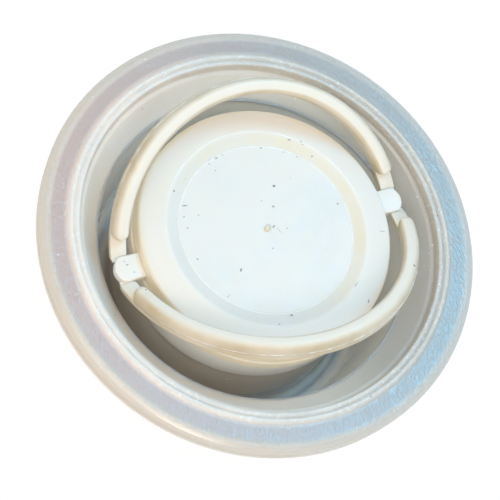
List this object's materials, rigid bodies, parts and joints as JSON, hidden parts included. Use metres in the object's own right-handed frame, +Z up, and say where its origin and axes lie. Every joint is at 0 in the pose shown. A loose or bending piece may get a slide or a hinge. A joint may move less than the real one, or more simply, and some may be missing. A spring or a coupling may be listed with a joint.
{
  "type": "pull-up pouring spout with screw cap",
  "caption": "Flexible pouring spout for a pail lid, nested in its own flange and closed by a screw cap with two hinged lifting bails.",
  "frame": {"origin": "on the spout's axis, level with the bottom of the fold that the closure stands on", "axes": "+Z up along the spout's axis, +X along the hinge line of the two bails, +Y towards the rear bail"},
  "size_m": [0.076, 0.076, 0.0404],
  "materials": {
    "natural_plastic": "soft translucent polyethylene, satin, slightly milky",
    "white_plastic": "white polypropylene, satin, creamy at the edges",
    "cream_plastic": "the same plastic, aged to a cream tone",
    "liner_foam": "pale foamed polyethylene"
  },
  "bodies": {
    "root": {"spout_flange": "natural_plastic", "rolling_wall": "natural_plastic"},
    "neck": {"spout_neck": "natural_plastic"},
    "liner": {"cap_liner": "liner_foam"},
    "cap": {"screw_cap": "white_plastic"},
    "rear_bail": {"rear_bail": "cream_plastic"},
    "front_bail": {"front_bail": "cream_plastic"}
  },
  "joints": [
    {"name": "pull_out", "type": "slide", "parent": "root", "child": "neck", "axis": [0, 0, 1], "range_m": [0, 0.038], "deforming": ["rolling_wall"]},
    {"name": "cap_lift", "type": "slide", "parent": "neck", "child": "liner", "axis": [0, 0, 1], "range_m": [0, 0.0038]},
    {"name": "cap_turn", "type": "hinge", "parent": "liner", "child": "cap", "pos_m": [0, 0, 0.0285], "axis": [0, 0, 1], "range_deg": [0, 450]},
    {"name": "rear_bail_hinge", "type": "hinge", "parent": "cap", "child": "rear_bail", "pos_m": [0, 0.0028, 0.0261], "axis": [1, 0, 0], "range_deg": [-31.5, 48.5]},
    {"name": "front_bail_hinge", "type": "hinge", "parent": "cap", "child": "front_bail", "pos_m": [0, -0.0028, 0.0261], "axis": [-1, 0, 0], "range_deg": [-25.5, 54.5]}
  ],
  "couplings": [
    {"joint": "cap_lift", "follows": "cap_turn", "m_per_rad": 0.00047746}
  ]
}
